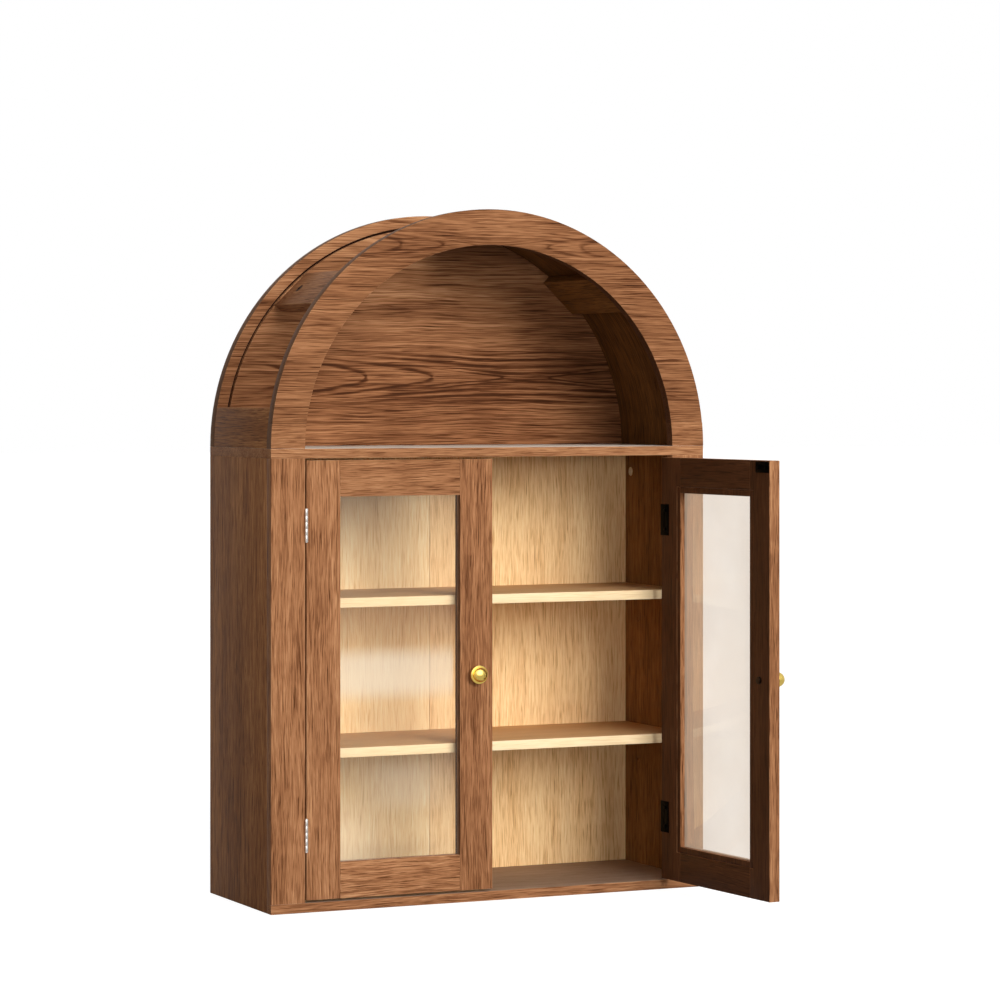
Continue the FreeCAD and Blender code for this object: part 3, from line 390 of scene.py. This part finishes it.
def metal(name, colour, roughness, wear=0.08, metallic=1.0, shine=0.5):
    """Make a plated or painted metal with fine marks and slow changes of shine."""
    graph = Graph(bpy.data.materials.new(name))
    where = graph.place()
    marks = graph.noise(where, scale=MARKS_SCALE, detail=3.0)
    clouds = graph.noise(where, scale=CLOUDS_SCALE, detail=2.0)
    dull = tuple(channel * DULL_SHARE for channel in colour[:3]) + (1.0,)
    tint = graph.blend(graph.step(clouds, 0.3, 0.7, 0.0, wear), colour, dull)
    rough = graph.step(marks, 0.2, 0.8, *(roughness * share for share in MARKS_ROUGHNESS))
    return graph.surface(base_color=tint, metallic=metallic, roughness=rough,
                         specular_ior_level=shine, normal=graph.bump(marks, MARKS_BUMP))


WHITE = (1.0, 1.0, 1.0, 1.0)
GLASS_TINT = (0.98, 0.975, 0.965, 1.0)
# The veil's colour: dust haze that glows by itself, partly painted light
VEIL_COLOUR = (0.64, 0.50, 0.37, 1.0)
# The colour of the painted reflections that glow on the left pane
GLEAM_COLOUR = (1.0, 0.87, 0.68, 1.0)

# A pane's veil and mirror straight on, and how the mirror grows when it is seen from the side
VEIL_LEAST = 0.012
MIRROR_LEAST = 0.008
MIRROR_GROWTH = 2.0
MIRROR_POWER = 5.0
MIRROR_MOST = 0.9

SMUDGE_SCALE = 14.0
SMUDGED_VEIL = (1.15, 1.35)
SMUDGED_ROUGHNESS = (0.01, 0.04)
GLEAM_FULL_SHARE = 0.3

# The left pane's painted reflections stop here, short of the stile where the doors meet
GLEAMS_END = (PANE_END_X - 5 * MM, PANE_END_X - 9 * MM)
LEFT_GLEAMS = ((-0.17, 0.285, 0.90, 0.900, 0.03), (-0.17, 0.290, 0.35, 0.040, 0.32),
               (-0.23, 0.060, 0.11, 0.090, 0.16), (-0.12, 0.150, 0.09, 0.040, 0.08))


def pane(name, gleams=()):
    """Clear glass, with a veil and a mirror that both grow as it is seen more from the side. The
    veil is dust haze that glows by itself, so it is partly painted light.

    Each of gleams is a painted reflection, a soft light patch that glows on it and makes the bay
    behind look lighter: (middle x, middle z, half width, half height, share), in metres.
    """
    graph = Graph(bpy.data.materials.new(name))
    facing = graph.node("ShaderNodeLayerWeight", {"Blend": 0.5}).outputs["Facing"]
    mirror = graph.calc("MULTIPLY_ADD", graph.calc("POWER", facing, MIRROR_POWER),
                        MIRROR_GROWTH, MIRROR_LEAST)
    mirror = graph.calc("MINIMUM", mirror, MIRROR_MOST)
    smudge = graph.noise(graph.place(), scale=SMUDGE_SCALE, detail=3.0)
    veil = graph.calc("MULTIPLY", graph.calc("MULTIPLY_ADD", facing, facing, VEIL_LEAST),
                      graph.step(smudge, 0.3, 0.7, *SMUDGED_VEIL))
    x, _, z = graph.split(graph.place())
    gleam = 0.0
    for middle_x, middle_z, half_width, half_height, most in gleams:
        wide = graph.step(graph.calc("ABSOLUTE", graph.calc("SUBTRACT", x, middle_x)),
                          half_width, 0.0)
        high = graph.step(graph.calc("ABSOLUTE", graph.calc("SUBTRACT", z, middle_z)),
                          half_height, half_height * GLEAM_FULL_SHARE)
        gleam = graph.calc("MULTIPLY_ADD", graph.calc("MULTIPLY", wide, high), most, gleam)
    if gleams:
        gleam = graph.calc("MULTIPLY", gleam, graph.step(x, *GLEAMS_END))
    glowing_dust = graph.node("ShaderNodeEmission", {"Color": VEIL_COLOUR}).outputs[0]
    glow = graph.node("ShaderNodeEmission", {"Color": GLEAM_COLOUR}).outputs[0]
    shine = graph.node("ShaderNodeBsdfGlossy", {
        "Color": WHITE,
        "Roughness": graph.step(smudge, 0.3, 0.7, *SMUDGED_ROUGHNESS)}).outputs[0]
    path = graph.node("ShaderNodeLightPath").outputs
    lit = graph.calc("SUBTRACT", 1.0, path["Is Shadow Ray"])
    shader = graph.node("ShaderNodeBsdfTransparent", {"Color": GLASS_TINT}).outputs[0]
    for share, layer in ((veil, glowing_dust), (gleam, glow), (mirror, shine)):
        shader = graph.cover(graph.calc("MULTIPLY", share, lit), shader, layer)
    return graph.finish(shader)


MERGED_WITHIN = MM / 1000
FLAT_ANGLE = math.radians(0.4)
SHARP_ANGLE = math.radians(30)
SMOOTH_ANGLE = math.radians(32)
ROUNDING_STEPS = 2
ROUNDING_PROFILE = 0.5

BOARD_ROUNDING = 0.5 * MM
THIN_ROUNDING = 0.3 * MM
FITTING_ROUNDING = 0.15 * MM
SHORTEST_ON_BOARDS = 4 * MM


def clean_copy(node):
    """Give a copy of a node's mesh with its flat faces whole again."""
    mesh = frame["nodes"][node].data.copy()
    work = bmesh.new()
    work.from_mesh(mesh)
    bmesh.ops.remove_doubles(work, verts=work.verts, dist=MERGED_WITHIN)
    bmesh.ops.dissolve_limit(work, angle_limit=FLAT_ANGLE, verts=work.verts, edges=work.edges)
    work.to_mesh(mesh)
    work.free()
    return mesh


def soften(mesh, width, shortest):
    """Round a mesh's sharp edges, leaving those that are shorter than a length.

    The rounded faces are marked as "edge", so that the veneers get lighter there: partly wear,
    partly a painted highlight along the edges.
    """
    work = bmesh.new()
    work.from_mesh(mesh)
    sharp = [edge for edge in work.edges
             if len(edge.link_faces) == 2 and edge.calc_length() > shortest
             and edge.calc_face_angle(0.0) > SHARP_ANGLE]
    mark = work.faces.layers.float.new("edge")
    rounded = bmesh.ops.bevel(work, geom=sharp, offset=width, offset_type="OFFSET",
                              segments=ROUNDING_STEPS, profile=ROUNDING_PROFILE,
                              affect="EDGES", clamp_overlap=True)
    for face in rounded["faces"]:
        face[mark] = 1.0
    for face in work.faces:
        face.smooth = True
    for edge in work.edges:
        edge.smooth = edge.calc_face_angle(0.0) < SMOOTH_ANGLE
    work.to_mesh(mesh)
    work.free()


def place_object(name, data):
    made = bpy.data.objects.new(name, data)
    bpy.context.scene.collection.objects.link(made)
    return made


def dress(node, material, width, shortest, ending):
    """Show a rounded copy of a CAD node in its place, on the body that carries it."""
    mesh = clean_copy(node)
    soften(mesh, width, shortest)
    mesh.materials.clear()
    mesh.materials.append(material)
    piece = place_object(node + ending, mesh)
    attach(piece, BODY_OF[node])
    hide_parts(node)


def board_plans():
    """Say how the grain of every wooden node runs, and which of its sides look different."""
    plans = {
        # The bottom board's and the deck's tops get painted sheen
        "bottom_board": {"along": "x", "faces": (("Z", 1, GREY_SHEEN_TOP),)},
        "deck_board": {"along": "x", "level": 0.72, "faces": (("Z", 1, PALE_SHEEN_TOP),)},
        "arch_ring": {"along": "x", "figure": (0.0, 825.0, 0.012, 5.4, 0.98, 20.0, 0.55),
                      "band": True, "long": 1.6, "contrast": 1.1, "level": 0.58},
        # The back board gets painted light that grows towards the top
        "arch_back_board": {"along": "x", "band": True, "groove": True, "contrast": 1.25,
                            "figure": (141.0, 660.0, 0.0088, 9.1, 0.90, 44.0, 0.95),
                            "long": 2.0, "level": 0.44, "rise": 1.1},
        "left_ring_foot": {"along": "x", "band": True, "level": 0.63},
        "right_ring_foot": {"along": "x", "band": True},
        "left_base_rail": {"along": "y", "colours": SIDE_WALNUT, "level": 0.60},
        "right_base_rail": {"along": "y", "colours": SIDE_WALNUT, "level": 0.60},
        # The arch skin and the right batten get the darker walnut, set low: painted shade
        "arch_skin": {"along": "arc", "colours": SHADED_RED_WALNUT, "level": 0.34},
        "left_batten": {"along": "y"},
        "right_batten": {"along": "y", "colours": SHADED_RED_WALNUT, "level": 0.5},
        "lower_back_rail": {"along": "x"},
        "upper_hanging_rail": {"along": "x"},
        "back_joint_strip": {"along": "z"},
    }
    for side, sign in (("left", 1), ("right", -1)):
        # The side panels' inner faces get the darker walnut: painted shade
        plans[side + "_side_panel"] = {"along": "z", "coarse": 1.2, "level": 0.62,
                                       "colours": SIDE_WALNUT,
                                       "faces": (("X", sign, SHADED_RED_WALNUT),)}
        plans[side + "_front_stile"] = {"along": "z"}
        for name, along in (("hinge_stile", "z"), ("free_stile", "z"), ("top_rail", "x"),
                            ("bottom_rail", "x"), ("glass_beads", "z")):
            # The open door's pieces get less of the lighter edges, which are partly wear and
            # partly a painted highlight
            plans[f"{side}_{name}"] = {"along": along,
                                       "turn": DOOR_OPEN if side == "right" else 0.0,
                                       "wear": FAINT_EDGE_WEAR_AND_HIGHLIGHT if side == "right" else EDGE_WEAR_AND_HIGHLIGHT,
                                       "faces": (("Y", 1, INSIDE_WALNUT),)}
    for node in ("left_free_stile", "left_glass_beads"):
        plans[node]["faces"] += (("X", -1, INSIDE_WALNUT),)
        plans[node]["level"] = 0.62
    plans["left_top_rail"]["level"] = 0.64
    plans["left_bottom_rail"].update(level=0.74, contrast=1.3)
    # The left back panel is set lighter than the right one: painted light for the bay behind the
    # shut door, which the lamps leave darker
    plans["left_back_panel"] = {"along": "z", "colours": OAK, "level": 0.76}
    plans["right_back_panel"] = {"along": "z", "colours": OAK, "level": 0.56}
    # The shelves' tops get painted shade
    for node in ("lower_shelf", "upper_shelf"):
        plans[node] = {"along": "x", "colours": OAK, "contrast": 0.7,
                       "faces": (("Y", -1, PALE_OAK), ("Z", 1, SHADED_OAK_TOP))}
    return plans


def dress_boards():
    for seed, (node, plan) in enumerate(board_plans().items(), 1):
        thin = "bead" in node or "back_panel" in node
        dress(node, wood("veneer_" + node, seed=seed, **plan),
              THIN_ROUNDING if thin else BOARD_ROUNDING, SHORTEST_ON_BOARDS, "_veneered")


def dress_fittings():
    """Finish the panes, plates, hinges, pins, screws and knobs, with their edges eased."""
    finishes = {
        "brass": metal("polished_brass", srgb(252, 218, 116), 0.2),
        "nickel": metal("bright_nickel", srgb(228, 224, 218), 0.3),
        "black_metal": metal("black_lacquer", srgb(2, 2, 2), 0.4, metallic=0.0, shine=0.02),
        "black_plastic": metal("dark_plastic", srgb(34, 24, 18), 0.5, metallic=0.0),
    }
    dark_zinc = metal("dark_zinc", srgb(48, 36, 28), 0.45, wear=0.3)
    for node, material in (("left_glass", pane("left_pane", LEFT_GLEAMS)),
                           ("right_glass", pane("right_pane"))):
        dress(node, material, THIN_ROUNDING, SHORTEST_ON_BOARDS, "_pane")
    for node, slot in SLOTS.items():
        if slot in finishes:
            dark = "batten_cam" in node or "right_knob_screw" in node
            dress(node, dark_zinc if dark else finishes[slot], FITTING_ROUNDING, 0.0,
                  "_finished")


# Name, azimuth and elevation in degrees, strength, width in degrees, and colour. Azimuth 0
# shines from the front, and more comes from the right.
SUNS = (("key_sun", 9.0, 20.0, 2.95, 34.0, (1.0, 0.985, 0.955)),
        ("front_sun", -21.0, 1.5, 0.52, 8.0, (1.0, 0.97, 0.92)),
        ("back_sun", 160.0, 30.0, 1.2, 40.0, (1.0, 0.985, 0.955)))

FILL_STRENGTH = 0.22
FILL_COLOUR = (1.0, 0.955, 0.87, 1.0)
MIRRORED_STRENGTH = 0.7

# The soft box: its strength, the way to it, and how near to that way it begins and is full
BOX_STRENGTH = 3.0
BOX_WAY = (-0.35, -0.66, 0.66)
BOX_EDGE = (0.5, 0.92)


def make_suns():
    """Add the suns, which shiny things don't mirror."""
    for name, azimuth, elevation, strength, spread, colour in SUNS:
        lamp = bpy.data.lights.new(name, "SUN")
        lamp.energy = strength
        lamp.angle = math.radians(spread)
        lamp.color = colour
        sun = place_object(name, lamp)
        sun.rotation_euler = (math.radians(90 - elevation), 0.0, math.radians(azimuth))
        sun.visible_glossy = False


def make_world():
    """A room that the camera sees white but that shines less itself, and a little warmer.

    Only shiny things show its soft box, up in front on the left.
    """
    world = bpy.data.worlds.new("studio")
    bpy.context.scene.world = world
    graph = Graph(world)
    way = graph.node("ShaderNodeTexCoord").outputs["Generated"]
    aim = graph.node("ShaderNodeVectorMath", {0: way, 1: BOX_WAY}, operation="DOT_PRODUCT")
    box = graph.step(aim.outputs["Value"], *BOX_EDGE, MIRRORED_STRENGTH, BOX_STRENGTH)
    fill, mirrored, seen = (
        graph.node("ShaderNodeBackground", {"Color": colour, "Strength": strength}).outputs[0]
        for colour, strength in ((FILL_COLOUR, FILL_STRENGTH), (WHITE, box), (WHITE, 1.0)))
    path = graph.node("ShaderNodeLightPath").outputs
    room = graph.cover(path["Is Glossy Ray"], fill, mirrored)
    graph.finish(graph.cover(path["Is Camera Ray"], room, seen), "ShaderNodeOutputWorld")


FLOOR_REACH = 30.0
FLOOR_DROP = 0.5 * MM
FLOOR_COLOUR = (0.3, 0.3, 0.3, 1.0)
FLOOR_GLOW_SEEN = 0.93
FLOOR_GLOW_MIRRORED = 0.35


def make_floor():
    """A white floor: it looks white of itself and still takes the cabinet's shadow."""
    mesh = bpy.data.meshes.new("floor")
    mesh.from_pydata([(-FLOOR_REACH, -FLOOR_REACH, 0), (FLOOR_REACH, -FLOOR_REACH, 0),
                      (FLOOR_REACH, FLOOR_REACH, 0), (-FLOOR_REACH, FLOOR_REACH, 0)],
                     [], [(0, 1, 2, 3)])
    graph = Graph(bpy.data.materials.new("white_floor"))
    path = graph.node("ShaderNodeLightPath").outputs
    strength = graph.calc("MULTIPLY_ADD", path["Is Glossy Ray"], FLOOR_GLOW_MIRRORED,
                          graph.calc("MULTIPLY", path["Is Camera Ray"], FLOOR_GLOW_SEEN))
    diffuse = graph.node("ShaderNodeBsdfDiffuse", {"Color": FLOOR_COLOUR}).outputs[0]
    glow = graph.node("ShaderNodeEmission", {"Color": WHITE, "Strength": strength}).outputs[0]
    both = graph.node("ShaderNodeAddShader", {0: diffuse, 1: glow}).outputs[0]
    mesh.materials.append(graph.finish(both))
    floor = place_object("floor", mesh)
    floor.location.z = -FLOOR_DROP


SENSOR_WIDTH = 36.0
FOCAL_LENGTH = 127.88
LENS_SHIFT = (-0.0013, -0.1104)
CAMERA_PLACE = (-1.88556, -4.16729, 0.64366)
CAMERA_AZIMUTH = -25.04
CAMERA_REACH = 200.0


def make_camera():
    """Stand the camera level at the photograph's viewing angle."""
    lens = bpy.data.cameras.new("camera")
    lens.sensor_width = SENSOR_WIDTH
    lens.lens = FOCAL_LENGTH
    lens.shift_x, lens.shift_y = LENS_SHIFT
    lens.clip_end = CAMERA_REACH
    camera = place_object("camera", lens)
    camera.location = CAMERA_PLACE
    camera.rotation_euler = (math.radians(90.0), 0.0, math.radians(CAMERA_AZIMUTH))
    bpy.context.scene.camera = camera


dress_boards()
dress_fittings()
make_suns()
make_world()
make_floor()
make_camera()
bpy.context.scene.view_settings.view_transform = "Standard"
